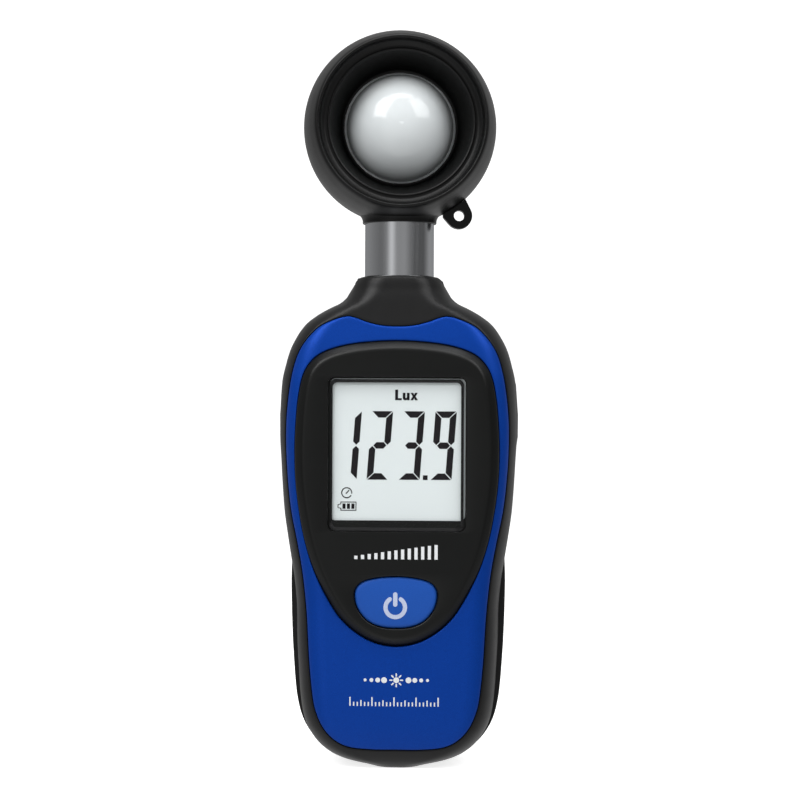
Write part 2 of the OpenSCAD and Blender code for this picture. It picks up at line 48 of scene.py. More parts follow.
FRONT_W = [[0, 5.6], [0.4, 7.2], [1, 9.9], [1.8, 12.6], [3, 15.0], [4.6, 17.0],
  [6.6, 18.6], [9, 19.9], [12, 20.7], [16, 21.2], [22, 21.6], [28, 21.9],
  [34, 22.0], [40, 22.5], [45, 23.3], [50, 24.1], [55, 24.8], [60, 25.2],
  [66, 25.55], [72, 25.85], [78, 25.75], [83, 25.45], [87, 24.6], [90, 23.7],
  [93, 22.2], [95.5, 20.4], [97.5, 17.9], [99, 15.3], [100.3, 12.7],
  [101.5, 11.4], [103, 10.35], [104.6, 9.75], [105.6, 9.3], [106, 8.75]]
REAR_W = [[0, 5.8], [0.4, 7.5], [1, 10.4], [1.8, 13.1], [3, 15.5], [4.6, 17.5],
  [6.6, 19.2], [9, 20.6], [12, 21.6], [16, 22.3], [22, 22.8], [28, 23.15],
  [34, 23.35], [40, 23.45], [45, 23.3], [50, 23.2], [55, 23.4], [60, 24.1],
  [66, 25.3], [72, 26.1], [78, 26.1], [83, 25.6], [87, 24.7], [90, 23.7],
  [93, 22.2], [95.5, 20.4], [97.5, 17.9], [99, 15.3], [100.3, 12.7],
  [101.5, 11.4], [103, 10.35], [104.6, 9.75], [105.6, 9.3], [106, 8.75]]
FRONT_D = [[0, 6.6], [0.4, 7.3], [1, 8.0], [1.8, 8.7], [3, 9.4], [4.6, 10.0],
  [6.6, 10.5], [9, 10.9], [12, 11.2], [16, 11.4], [22, 11.5], [84, 11.5],
  [90, 11.3], [95.5, 10.8], [99, 10.3], [101.5, 9.9], [103, 9.6],
  [104.6, 9.4], [105.6, 9.1], [106, 8.6]]
REAR_D = [[0, 6.6], [0.4, 7.4], [1, 8.4], [1.8, 9.4], [3, 10.4], [4.6, 11.3],
  [6.6, 12.0], [9, 12.5], [12, 12.85], [16, 13], [76, 13], [83, 12.8],
  [87, 12.5], [90, 12.1], [93, 11.6], [95.5, 11.1], [99, 10.4],
  [101.5, 9.9], [103, 9.6], [104.6, 9.4], [105.6, 9.1], [106, 8.6]]
PLATE = [[0, 94.9], [3.4, 95.1], [6.4, 95.8], [9.2, 96.8], [11, 97],
  [13.8, 96.2], [17.1, 94.5], [20.1, 91.2], [21.8, 87.7], [23, 82.6],
  [23.8, 75.8], [23.9, 69], [23.5, 62], [22.7, 55.3], [21.3, 48.5],
  [20.1, 41.6], [19.2, 33], [18.6, 23], [17.9, 16], [17.2, 12.6],
  [15.7, 9.2], [13.3, 6.5], [10, 4.9], [5, 4.4], [0, 4.4]]
BEZEL = [[0, 91.8], [5, 91.6], [10, 91], [14, 90], [16.8, 88.7],
  [18.8, 86.8], [20.2, 84], [21.1, 79.5], [21.6, 74], [21.8, 68.5],
  [21.6, 62], [20.8, 55.4], [19.4, 48.5], [17.1, 41.7], [13.5, 34.9],
  [10.8, 31.5], [7.5, 28.9], [4, 27.3], [0, 26.7]]
KEY = [[0, 41.6], [4, 41.3], [7, 40.5], [8.5, 39], [8.7, 37],
  [7.9, 34.5], [5.9, 32.2], [3.2, 31], [0, 30.7]]


class Curve:
    """The monotone reading of a table that part.scad uses."""

    def __init__(self, table):
        t = np.array(table, float)
        self.x, self.y = t[:, 0], t[:, 1]
        h = np.diff(self.x)
        d = np.diff(self.y) / h
        m = np.zeros(len(t))
        m[0], m[-1] = d[0], d[-1]
        for i in range(1, len(t) - 1):
            a, b = d[i - 1], d[i]
            m[i] = 0 if a * b <= 0 else 2 * a * b / (a + b)
        self.h, self.m = h, m

    def __call__(self, z):
        z = np.clip(np.asarray(z, float), self.x[0], self.x[-1])
        i = np.clip(np.searchsorted(self.x, z, side="right") - 1, 0, len(self.x) - 2)
        h = self.h[i]
        t = (z - self.x[i]) / h
        t2, t3 = t * t, t * t * t
        return ((2 * t3 - 3 * t2 + 1) * self.y[i] + (t3 - 2 * t2 + t) * h * self.m[i]
                + (3 * t2 - 2 * t3) * self.y[i + 1] + (t3 - t2) * h * self.m[i + 1])


fw, rw, fd, rd = Curve(FRONT_W), Curve(REAR_W), Curve(FRONT_D), Curve(REAR_D)


def depth(x, z, front=True):
    """Distance of the shell's outer surface from the parting plane."""
    x, z = np.abs(np.asarray(x, float)), np.asarray(z, float)
    w, d = (fw(z), fd(z)) if front else (rw(z), rd(z))
    rx = np.minimum(7.5 if front else 6.5, w * 0.9)
    crown = 0.4 * np.minimum(1, np.minimum(np.clip((97 - z) / 10, 0, 1), z / 8)) if front else 0.0
    flat = w - rx
    u = np.clip(x / np.maximum(flat, 1e-6), 0, 1)
    c = np.clip((x - flat) / rx, 0, 1)
    cosa = c ** (1 / 0.85)
    sina = np.sqrt(np.maximum(1 - cosa ** 2, 0))
    return np.where(x <= flat, d + crown * (1 - u * u), d * sina ** 0.85)


def loop(half, n=400, corner=None):
    """Closed smooth outline through the half points and their mirror, evenly spaced, from the top round the right side."""
    h = [tuple(p) for p in half]
    p = np.array(h + [(-x, z) for x, z in h[-2:0:-1]], float)
    k = 24
    out = []
    m = len(p)
    for i in range(m):
        a, b, c, d = p[(i - 1) % m], p[i], p[(i + 1) % m], p[(i + 2) % m]
        for s in range(k):
            t = s / k
            out.append(0.5 * (2 * b + (c - a) * t + (2 * a - 5 * b + 4 * c - d) * t * t
                              + (3 * b - a - 3 * c + d) * t ** 3))
    return even(np.array(out), n)


def even(q, n):
    closed = np.vstack([q, q[:1]])
    s = np.concatenate([[0], np.cumsum(np.linalg.norm(np.diff(closed, axis=0), axis=1))])
    t = np.linspace(0, s[-1], n, endpoint=False)
    return np.stack([np.interp(t, s, closed[:, k]) for k in range(2)], axis=1)


def rounded(x0, x1, z0, z1, r, per=10, along=24):
    """Rounded rectangle with the same number of points for every size, starting in the middle of the top."""
    xm = (x0 + x1) / 2
    top = [(xm + (x1 - r - xm) * i / along, z1) for i in range(along)]
    c1 = [(x1 - r + r * math.sin(a), z1 - r + r * math.cos(a)) for a in [math.pi / 2 * i / per for i in range(per)]]
    right = [(x1, z1 - r + (z0 - z1 + 2 * r) * i / (2 * along)) for i in range(2 * along)]
    c2 = [(x1 - r + r * math.cos(a), z0 + r - r * math.sin(a)) for a in [math.pi / 2 * i / per for i in range(per)]]
    bottom = [(x1 - r + (x0 - x1 + 2 * r) * i / (2 * along), z0) for i in range(2 * along)]
    c3 = [(x0 + r - r * math.sin(a), z0 + r - r * math.cos(a)) for a in [math.pi / 2 * i / per for i in range(per)]]
    left = [(x0, z0 + r + (z1 - z0 - 2 * r) * i / (2 * along)) for i in range(2 * along)]
    c4 = [(x0 + r - r * math.cos(a), z1 - r + r * math.sin(a)) for a in [math.pi / 2 * i / per for i in range(per)]]
    top2 = [(x0 + r + (xm - x0 - r) * i / along, z1) for i in range(along)]
    return np.array(top + c1 + right + c2 + bottom + c3 + left + c4 + top2)


def normals(q):
    """Outward unit normals of a clockwise outline."""
    t = np.roll(q, -1, axis=0) - np.roll(q, 1, axis=0)
    n = np.stack([-t[:, 1], t[:, 0]], axis=1)
    return n / np.linalg.norm(n, axis=1)[:, None]


def grow(q, d):
    return q + normals(q) * d


def rays(q, poly):
    """Where the outline's normals meet a closed polygon."""
    n = normals(q)
    a, b = poly, np.roll(poly, -1, axis=0)
    e = b - a
    out = np.empty_like(q)
    for i in range(len(q)):
        den = n[i, 0] * e[:, 1] - n[i, 1] * e[:, 0]
        w = a - q[i]
        with np.errstate(divide="ignore", invalid="ignore"):
            t = (w[:, 0] * e[:, 1] - w[:, 1] * e[:, 0]) / den
            s = (w[:, 0] * n[i, 1] - w[:, 1] * n[i, 0]) / den
        ok = (np.abs(den) > 1e-9) & (s >= -1e-9) & (s <= 1 + 1e-9) & (t > 1e-6)
        out[i] = q[i] + n[i] * t[ok].min()
    return out


def silhouette(front):
    w = fw if front else rw
    z = np.concatenate([np.linspace(106, 97, 60), np.linspace(97, 8, 160)[1:], 8 * np.linspace(1, 0, 60)[1:] ** 1.6])
    right = np.stack([w(z), z], axis=1)
    top = np.stack([np.linspace(0, w(106), 30)[:-1], np.full(29, 106.0)], axis=1)
    foot = np.stack([np.linspace(w(0), 0, 20)[1:], np.zeros(19)], axis=1)
    half = np.vstack([top, right, foot])
    return np.vstack([half, half[-2:0:-1] * [-1, 1]])


# ---------------------------------------------------------------- mesh helpers

def obj_from(name, verts, faces, material, body, smooth=40, replaces=()):
    me = bpy.data.meshes.new(name)
    me.from_pydata([tuple(v) for v in np.asarray(verts, float) * MM], [], faces)
    me.validate()
    bm = bmesh.new()
    bm.from_mesh(me)
    bmesh.ops.recalc_face_normals(bm, faces=bm.faces)
    bm.to_mesh(me)
    bm.free()
    ob = bpy.data.objects.new(name, me)
    bpy.context.scene.collection.objects.link(ob)
    me.materials.append(material)
    if smooth:
        me.shade_smooth()
        me.set_sharp_from_angle(angle=math.radians(smooth))
    if body:
        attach(ob, body)
    if replaces:
        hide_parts(*replaces)
    return ob


def rings_mesh(rings, closed=False, cap_first=False, cap_last=False):
    n = len(rings[0])
    verts = np.vstack(rings)
    faces = []
    m = len(rings)
    for r in range(m if closed else m - 1):
        a, b = r * n, ((r + 1) % m) * n
        for i in range(n):
            j = (i + 1) % n
            faces.append((a + i, a + j, b + j, b + i))
    if cap_first:
        faces.append(tuple(range(n)))
    if cap_last:
        faces.append(tuple(range((m - 1) * n, m * n)))
    return verts, faces


def xyz(q, y):
    y = np.broadcast_to(np.asarray(y, float), (len(q),))
    return np.stack([q[:, 0], y, q[:, 1]], axis=1)


def solidify(ob, t):
    m = ob.modifiers.new("Thickness", "SOLIDIFY")
    m.thickness, m.offset, m.use_even_offset = t * MM, -1, False
    m.use_rim = True
    return m


def apply_mods(ob):
    dg = bpy.context.evaluated_depsgraph_get()
    me = bpy.data.meshes.new_from_object(ob.evaluated_get(dg))
    ob.modifiers.clear()
    old = ob.data
    ob.data = me
    bpy.data.meshes.remove(old)


def tool_mesh(name, parts):
    """A closed mesh from several convex prisms and cylinders, for cutting."""
    bm = bmesh.new()
    for verts, faces in parts:
        vs = [bm.verts.new(tuple(np.asarray(v) * MM)) for v in verts]
        for f in faces:
            bm.faces.new([vs[i] for i in f])
    bmesh.ops.recalc_face_normals(bm, faces=bm.faces)
    me = bpy.data.meshes.new(name)
    bm.to_mesh(me)
    bm.free()
    ob = bpy.data.objects.new(name, me)
    bpy.context.scene.collection.objects.link(ob)
    return ob


def prism(q, ya, yb):
    n = len(q)
    v = np.vstack([xyz(q, ya), xyz(q, yb)])
    f = [(i, (i + 1) % n, n + (i + 1) % n, n + i) for i in range(n)]
    return v, f + [tuple(range(n)), tuple(range(n, 2 * n))]


def disc(x, z, r, n=48):
    a = np.arange(n) * 2 * math.pi / n
    return np.stack([x + r * np.sin(a), z + r * np.cos(a)], axis=1)


def weld(ob):
    """Merge a cut's slivers, and drop rim vertices that only bend two faces' shared border."""
    bm = bmesh.new()
    bm.from_mesh(ob.data)
    bmesh.ops.remove_doubles(bm, verts=bm.verts, dist=5e-6)
    bmesh.ops.dissolve_degenerate(bm, edges=bm.edges, dist=5e-6)
    spare, kept = [], set()
    for p in bm.verts:
        if len(p.link_edges) != 2 or len(p.link_faces) != 2 or p in kept:
            continue
        a, c = (e.other_vert(p) for e in p.link_edges)
        along = (c.co - a.co).normalized()
        if ((p.co - a.co) - along * (p.co - a.co).dot(along)).length < 2e-5:
            spare.append(p)
            kept.update((a, c))
    bmesh.ops.dissolve_verts(bm, verts=spare)
    bm.to_mesh(ob.data)
    bm.free()


def boolean(ob, tool, how):
    m = ob.modifiers.new(how, "BOOLEAN")
    m.operation, m.object, m.solver = how, tool, "EXACT"
    apply_mods(ob)
    bpy.data.objects.remove(tool, do_unlink=True)
    weld(ob)


# ---------------------------------------------------------------- materials

def lin(r, g, b):
    f = lambda c: c / 12.92 if c <= 0.04045 else ((c + 0.055) / 1.055) ** 2.4
    return (f(r / 255), f(g / 255), f(b / 255), 1.0)


def material(name, base, rough=0.4, metallic=0.0, spec=0.5, coat=0.0, coat_rough=0.1,
             grain=0.0, grain_scale=6000.0, vary=0.0, vary_scale=120.0, rough_vary=0.0,
             bump=0.0, bump_scale=4000.0, alpha=1.0, sheen=0.0, sss=0.0, aniso=0.0, wear=0.0):
    """A moulded, painted or metal surface: fine texture in the bump, and slow changes in colour and roughness."""
    m = bpy.data.materials.new(name)
    m.use_nodes = True
    nt = m.node_tree
    b = nt.nodes["Principled BSDF"]
    b.inputs["Base Color"].default_value = base
    b.inputs["Roughness"].default_value = rough
    b.inputs["Metallic"].default_value = metallic
    b.inputs["Specular IOR Level"].default_value = spec
    b.inputs["Coat Weight"].default_value = coat
    b.inputs["Coat Roughness"].default_value = coat_rough
    b.inputs["Alpha"].default_value = alpha
    if sss:
        b.inputs["Subsurface Weight"].default_value = sss
        b.inputs["Subsurface Radius"].default_value = (1, 1, 1)
        b.inputs["Subsurface Scale"].default_value = 0.0012
    tc = nt.nodes.new("ShaderNodeTexCoord")
    def noise(scale, detail=3.0, rough_=0.55):
        n = nt.nodes.new("ShaderNodeTexNoise")
        n.inputs["Scale"].default_value = scale
        n.inputs["Detail"].default_value = detail
        n.inputs["Roughness"].default_value = rough_
        nt.links.new(tc.outputs["Object"], n.inputs["Vector"])
        return n
    colour = None
    if vary or grain:
        n1 = noise(vary_scale)
        ramp = nt.nodes.new("ShaderNodeMapRange")
        ramp.inputs["To Min"].default_value = 1 - vary
        ramp.inputs["To Max"].default_value = 1 + vary
        nt.links.new(n1.outputs["Fac"], ramp.inputs["Value"])
        val = ramp.outputs["Result"]
        if grain:
            n2 = noise(grain_scale, 2.0)
            r2 = nt.nodes.new("ShaderNodeMapRange")
            r2.inputs["From Min"].default_value = 0.35
            r2.inputs["From Max"].default_value = 0.65
            r2.inputs["To Min"].default_value = 1 - grain
            r2.inputs["To Max"].default_value = 1 + grain
            nt.links.new(n2.outputs["Fac"], r2.inputs["Value"])
            mul = nt.nodes.new("ShaderNodeMath")
            mul.operation = "MULTIPLY"
            nt.links.new(val, mul.inputs[0])
            nt.links.new(r2.outputs["Result"], mul.inputs[1])
            val = mul.outputs[0]
        sc = nt.nodes.new("ShaderNodeVectorMath")
        sc.operation = "SCALE"
        sc.inputs[0].default_value = base[:3]
        nt.links.new(val, sc.inputs["Scale"])
        colour = sc.outputs[0]
        nt.links.new(colour, b.inputs["Base Color"])
    if rough_vary:
        n3 = noise(vary_scale * 2.3, 4.0)
        r3 = nt.nodes.new("ShaderNodeMapRange")
        r3.inputs["To Min"].default_value = max(rough - rough_vary, 0.02)
        r3.inputs["To Max"].default_value = min(rough + rough_vary, 1)
        nt.links.new(n3.outputs["Fac"], r3.inputs["Value"])
        nt.links.new(r3.outputs["Result"], b.inputs["Roughness"])
    if bump:
        n4 = noise(bump_scale, 2.0)
        bp = nt.nodes.new("ShaderNodeBump")
        bp.inputs["Strength"].default_value = bump
        bp.inputs["Distance"].default_value = 0.00005
        nt.links.new(n4.outputs["Fac"], bp.inputs["Height"])
        nt.links.new(bp.outputs["Normal"], b.inputs["Normal"])
    return m



def steel(name, base=(0.60, 0.61, 0.63, 1), rough=0.2, streak=0.06):
    """Drawn metal: long fine streaks along Z in roughness and bump."""
    m = material(name, base, rough=rough, metallic=1.0)
    nt = m.node_tree
    b = nt.nodes["Principled BSDF"]
    b.inputs["Specular Tint"].default_value = (0.6, 0.61, 0.62, 1)
    tc = nt.nodes.new("ShaderNodeTexCoord")
    mp = nt.nodes.new("ShaderNodeMapping")
    mp.inputs["Scale"].default_value = (2600, 2600, 40)
    n = nt.nodes.new("ShaderNodeTexNoise")
    n.inputs["Scale"].default_value = 1.0
    n.inputs["Detail"].default_value = 3
    r = nt.nodes.new("ShaderNodeMapRange")
    r.inputs["To Min"].default_value = rough - streak
    r.inputs["To Max"].default_value = rough + streak
    bp = nt.nodes.new("ShaderNodeBump")
    bp.inputs["Strength"].default_value = 0.12
    bp.inputs["Distance"].default_value = 0.00002
    nt.links.new(tc.outputs["Object"], mp.inputs["Vector"])
    nt.links.new(mp.outputs["Vector"], n.inputs["Vector"])
    nt.links.new(n.outputs["Fac"], r.inputs["Value"])
    nt.links.new(r.outputs["Result"], b.inputs["Roughness"])
    nt.links.new(n.outputs["Fac"], bp.inputs["Height"])
    nt.links.new(bp.outputs["Normal"], b.inputs["Normal"])
    return m


BLACK = material("satin black moulding", (0.0055, 0.0055, 0.0058, 1), rough=0.42, spec=0.28, vary=0.12,
                 rough_vary=0.05, bump=0.35, bump_scale=5200)
HOOD = material("fine black moulding", (0.0035, 0.0035, 0.0035, 1), rough=0.38, spec=0.22, vary=0.12,
                rough_vary=0.05, bump=0.25, bump_scale=6000)
BLUE = material("blue metallic paint", (0.0022, 0.047, 0.33, 1), rough=0.4, metallic=0.3, spec=0.12, vary=0.04,
                vary_scale=90, grain=0.16, grain_scale=9000, rough_vary=0.04, bump=0.3, bump_scale=7000)
KEYBLUE = material("blue key moulding", (0.010, 0.080, 0.40, 1), rough=0.45, spec=0.22, vary=0.04, grain=0.06,
                   grain_scale=8000, rough_vary=0.04, bump=0.25)
ISLAND = material("satin black island", (0.0035, 0.0039, 0.0037, 1), rough=0.36, spec=0.25, vary=0.1, rough_vary=0.04, bump=0.22,
                  bump_scale=6500)
PRINT_WHITE = material("white print", (0.80, 0.82, 0.84, 1), rough=0.5, vary=0.03, grain=0.04, rough_vary=0.05, bump=0.1)
PRINT_PALE = material("pale key print", (0.52, 0.58, 0.76, 1), rough=0.45, vary=0.03, grain=0.04, rough_vary=0.05, bump=0.1)
INK = material("display segments", (0.010, 0.008, 0.010, 1), rough=0.5, spec=0.15, vary=0.06, rough_vary=0.04)
DOME = material("opal acrylic", (0.70, 0.735, 0.745, 1), rough=0.1, sss=0.25, vary=0.012, vary_scale=160, rough_vary=0.03,
                bump=0.06, bump_scale=3500)
LCD = material("display cell", (0.86, 0.93, 0.935, 1), rough=0.45, vary=0.01, grain=0.015, grain_scale=12000, rough_vary=0.04)
STEM = steel("drawn steel")

WINDOW = material("window pane", (0.05, 0.055, 0.055, 1), rough=0.06, alpha=0.035, rough_vary=0.02, vary=0.02)
WHITE = material("white moulding", (0.72, 0.72, 0.69, 1), rough=0.45, vary=0.03, rough_vary=0.06, bump=0.2)
GUIDE = material("clear acrylic guide", (0.82, 0.84, 0.83, 1), rough=0.15, vary=0.02, rough_vary=0.04, bump=0.05)
SILICONE = material("striped elastomer", (0.50, 0.30, 0.30, 1), rough=0.6, vary=0.06, grain=0.15, grain_scale=3000, bump=0.3)
BOARD = material("green solder mask", (0.012, 0.12, 0.035, 1), rough=0.28, vary=0.12, vary_scale=400, grain=0.18,
                 grain_scale=2500, rough_vary=0.05, bump=0.25, bump_scale=2500)
CHIP = material("moulded epoxy", (0.010, 0.010, 0.011, 1), rough=0.5, vary=0.1, grain=0.15, bump=0.4)
PARTS = material("small components", (0.40, 0.31, 0.13, 1), rough=0.35, vary=0.25, vary_scale=600, rough_vary=0.1, bump=0.2)
TRIM = material("trimmer body", (0.02, 0.09, 0.42, 1), rough=0.35, vary=0.05, rough_vary=0.05, bump=0.15)
PLATED = steel("plated metal", (0.66, 0.67, 0.69, 1), rough=0.22, streak=0.05)
SCREW = steel("blackened steel", (0.10, 0.10, 0.105, 1), rough=0.32, streak=0.06)
CELL = material("printed foil sleeve", (0.60, 0.36, 0.045, 1), rough=0.3, metallic=0.6, vary=0.05, grain=0.08,
                grain_scale=2500, rough_vary=0.05, bump=0.08)
RED = material("red wire", (0.45, 0.02, 0.015, 1), rough=0.42, vary=0.06, rough_vary=0.06, bump=0.2)
GREY = material("grey sheath", (0.055, 0.055, 0.06, 1), rough=0.5, vary=0.08, rough_vary=0.06, bump=0.3)
FILTER = material("tinted filter", (0.20, 0.42, 0.15, 1), rough=0.1, alpha=0.75, vary=0.03, rough_vary=0.03)
SILICON = material("photodiode package", (0.03, 0.035, 0.06, 1), rough=0.2, vary=0.08, rough_vary=0.05, bump=0.1)
FOAM = material("soft foam", (0.045, 0.045, 0.048, 1), rough=0.9, vary=0.15, grain=0.5, grain_scale=2500, bump=1.0,
                bump_scale=2600)
TAPE = material("adhesive tape", (0.012, 0.012, 0.013, 1), rough=0.6, vary=0.1, grain=0.2, bump=0.4)

FINISH = {
    "display_window": WINDOW, "window_tape": TAPE, "lcd_glass": LCD, "lcd_frame": WHITE, "lcd_backlight": GUIDE,
    "zebra_strips": SILICONE, "main_board": BOARD, "measuring_chip": CHIP, "board_components": PARTS,
    "quartz_crystal": PLATED, "calibration_trimmer": TRIM, "switch_body": CHIP, "board_screws": PLATED,
    "lead_socket": WHITE, "lead_plug": WHITE, "battery_cells": CELL, "battery_springs": PLATED,
    "battery_contacts": PLATED, "battery_leads": RED, "housing_screws": SCREW, "stem_bush": WHITE,
    "stem_washer": PLATED, "sensor_lead_lower": GREY, "sensor_lead_upper": GREY, "hood_ring": HOOD,
    "strap_eyelet": HOOD, "head_rear_shell": HOOD, "light_dome": DOME, "dome_clamp_ring": WHITE,
    "filter_holder": CHIP, "optical_filter": FILTER, "photodiode": SILICON, "sensor_board": BOARD,
    "head_screws": SCREW, "stem_tube": STEM, "stem_collar": SCREW, "switch_plunger": WHITE, "door_foam": FOAM,
    "front_housing": BLACK, "rear_housing": BLACK, "faceplate": BLUE, "display_bezel": ISLAND,
    "power_key": KEYBLUE, "battery_door": BLACK,
}
for name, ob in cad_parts.items():
    for k in range(max(1, len(ob.material_slots))):
        if ob.material_slots:
            ob.material_slots[k].material = FINISH[name]
        else:
            ob.data.materials.append(FINISH[name])

# ---------------------------------------------------------------- body shells

N = 440
PLATE_Q, BEZEL_Q, KEY_Q = loop(PLATE, N), loop(BEZEL, N), loop(KEY, 160)


def outer_rings(start, front, sgn, steps):
    """From an opening's rim over the shell's outer surface, round to the parting plane, the neck's top and the foot."""
    w = fw if front else rw
    s_end = rays(start, silhouette(front))
    corner = np.zeros(len(start), bool)
    for c in ((1, 106), (-1, 106), (1, 0), (-1, 0)):
        p = np.array([c[0] * float(w(c[1])), c[1]])
        i = int(np.argmin(np.linalg.norm(s_end - p, axis=1)))
        s_end[i], corner[i] = p, True
    reach = np.linalg.norm(s_end - start, axis=1)
    top, foot = s_end[:, 1] > 105.99, s_end[:, 1] < 0.01
    side = ~(top | foot)
    away = (s_end - start) / reach[:, None]
    rings = []
    s0 = np.minimum(0.45 / reach, 0.5)
    for u in steps:
        s = s0 + (1 - s0) * (1 - (1 - u) ** 2)
        q = start + (s_end - start) * s[:, None]
        d = depth(q[:, 0], q[:, 1], front)
        if u == 1:
            d = np.where(side | corner, 0, d)
            q = q - away * np.where(side, 0.13, 0)[:, None]
        v = xyz(q, sgn * d)
        v[:, 2] = np.minimum(v[:, 2], 105.55)
        rings.append(v)
    edge = rings[-1].copy()
    r = np.hypot(edge[:, 0], edge[:, 1])
    for inset, lift, side_in, side_y in ((0.12, 0.3, 0.3, 0), (0.42, 0.45, 0.9, 0), (None, 0.45, 2.6, 0), (None, -0.99, 3.1, 0.8)):
        v = edge.copy()
        q = s_end - away * side_in
        v[:, 0], v[:, 2] = q[:, 0], q[:, 1]
        v[:, 1] = sgn * side_y
        for i in np.nonzero(top)[0]:
            k = 7.8 / r[i] if inset is None else 1 - inset / r[i]
            v[i] = (edge[i, 0] * k, edge[i, 1] * k, 105.55 + lift)
        for i in np.nonzero(foot)[0]:
            f = 1 - side_in / 3.2
            v[i] = (edge[i, 0] * f, edge[i, 1] * f + sgn * 0.02, 1.2 if side_y else 0.0)
        rings.append(v)
    return rings


U = [k / 30 for k in range(31)]

g = grow(PLATE_Q, 0.12)
inner = grow(PLATE_Q, -4.5)
front_rings = [xyz(inner, -(depth(inner[:, 0], inner[:, 1]) - 1.35)),
               xyz(g, -(depth(g[:, 0], g[:, 1]) - 1.35)),
               xyz(g, -(depth(g[:, 0], g[:, 1]) - 0.26))]
for off, drop in ((0.07, 0.10), (0.22, 0.01)):
    q = grow(g, off)
    front_rings.append(xyz(q, -(depth(q[:, 0], q[:, 1]) - drop)))
front_rings += outer_rings(g, True, -1, U)
v, f = rings_mesh(front_rings, closed=True)
front_shell = obj_from("front_shell", v, f, BLACK, "body", 38, ["front_housing"])

DOOR_Q = rounded(-17.5, 17.5, 9.3, 62.7, 4.1)
BAY_Q = rounded(-16.05, 16.05, 10.9, 61.1, 0.8)
UNDER_Q = rounded(-16.8, 16.8, 10.1, 61.9, 1.2)


def rear_at(q, drop=0.0):
    return depth(q[:, 0], q[:, 1], False) - drop


rear_rings = [xyz(BAY_Q, 0.5), xyz(BAY_Q, 11.45), xyz(grow(BAY_Q, 0.15), 11.6), xyz(DOOR_Q, 11.6),
              xyz(DOOR_Q, rear_at(DOOR_Q, 0.3))]
for off, drop in ((0.08, 0.10), (0.25, 0.01)):
    q = grow(DOOR_Q, off)
    rear_rings.append(xyz(q, rear_at(q, drop)))
rear_rings += outer_rings(DOOR_Q, False, 1, U)
rear_rings.append(xyz(UNDER_Q, -0.45))
v, f = rings_mesh(rear_rings, cap_first=True, cap_last=True)
rear_shell = obj_from("rear_shell", v, f, BLACK, "body", 38, ["rear_housing"])
HOLES = [(16.5, 90.8), (-16.5, 90.8), (11, 6.2), (-11, 6.2)]
boolean(rear_shell, tool_mesh("cut", [prism(disc(x, z, 2.5), 8.6, 15) for x, z in HOLES]), "DIFFERENCE")
rear_shell.data.set_sharp_from_angle(angle=math.radians(38))

# battery door with grip grooves
q0 = rounded(-17.38, 17.38, 9.42, 62.58, 4.0)
door_rings = [xyz(q0, 11.65), xyz(q0, rear_at(q0, 0.28))]
for off, drop in ((-0.08, 0.09), (-0.26, 0.0), (-0.9, 0.0)):
    q = grow(q0, off)
    door_rings.append(xyz(q, rear_at(q, drop)))
v, f = rings_mesh(door_rings, cap_first=True, cap_last=True)
door = obj_from("door_panel", v, f, BLACK, "door", 30, ["battery_door"])


def stadium(x0, x1, z, r, n=10):
    a = [math.pi * i / n for i in range(n + 1)]
    return np.array([(x1 + r * math.sin(t), z + r * math.cos(t)) for t in a]
                    + [(x0 - r * math.sin(t), z - r * math.cos(t)) for t in a])


boolean(door, tool_mesh("cut", [prism(stadium(-6 + 0.35 * i, 6 - 0.35 * i, 57.4 - 1.2 * i, 0.3), 12.6, 14)
                                for i in range(9)]), "DIFFERENCE")
door.data.set_sharp_from_angle(angle=math.radians(30))
for i, (x0, x1, z0, z1) in enumerate([(-15.6, -14.8, 20, 52), (14.8, 15.6, 20, 52), (-6.3, -3.5, 60.2, 61.0), (3.5, 6.3, 60.2, 61.0)]):
    y0 = 9.6 if i < 2 else 10.7
    v, f = prism(rounded(x0, x1, z0, z1, 0.2, 4, 4), y0, 11.8)
    obj_from(f"door_rib_{i}", v, f, BLACK, "door", 30)

# ---------------------------------------------------------------- head shells

HEAD_Z, TURN = 138.6, 4.0


def flow(points, per=6):
    """A smooth run through points (Catmull-Rom)."""
    p = np.array(points, float)
    p = np.vstack([2 * p[0] - p[1], p, 2 * p[-1] - p[-2]])
    out = []
    for i in range(1, len(p) - 2):
        for k in range(per):
            t = k / per
            out.append(0.5 * (2 * p[i] + (p[i + 1] - p[i - 1]) * t + (2 * p[i - 1] - 5 * p[i] + 4 * p[i + 1] - p[i + 2]) * t * t
                              + (3 * p[i] - p[i - 1] - 3 * p[i + 1] + p[i + 2]) * t ** 3))
    return out + [p[-2]]


def lathe(profile, n=192):
    """A closed profile of (radius, forward) turned about the head's axis."""
    m = len(profile)
    verts, faces = [], []
    for k in range(n):
        c, d = math.cos(2 * math.pi * k / n), math.sin(2 * math.pi * k / n)
        verts += [(r * c, -h, r * d) for r, h in profile]
    for k in range(n):
        j = (k + 1) % n
        faces += [(k * m + i, j * m + i, j * m + (i + 1) % m, k * m + (i + 1) % m) for i in range(m)]
    return verts, faces


def half_collar(sgn, n=48):
    """Half of the collar around the stem, on the -Y (-1) or +Y (1) side."""
    outer = flow([(7.95, 117.62), (8.07, 117.75), (8.1, 118.3), (8.3, 118.9), (8.72, 119.5), (9.35, 120.05)], 4)
    prof = [(7.62, 121.6), (7.62, 117.6), (7.85, 117.6)] + [tuple(q) for q in outer] + [(9.35, 121.6)]
    m = len(prof)
    verts, faces = [], []
    for k in range(n + 1):
        t = math.pi * k / n * 0.9985 + 0.0024
        verts += [(r * math.cos(t), sgn * r * math.sin(t), z - HEAD_Z) for r, z in prof]
    for k in range(n):
        faces += [(k * m + i, (k + 1) * m + i, (k + 1) * m + (i + 1) % m, k * m + (i + 1) % m) for i in range(m)]
    faces += [tuple(range(m)), tuple(n * m + i for i in range(m))]
    return verts, faces


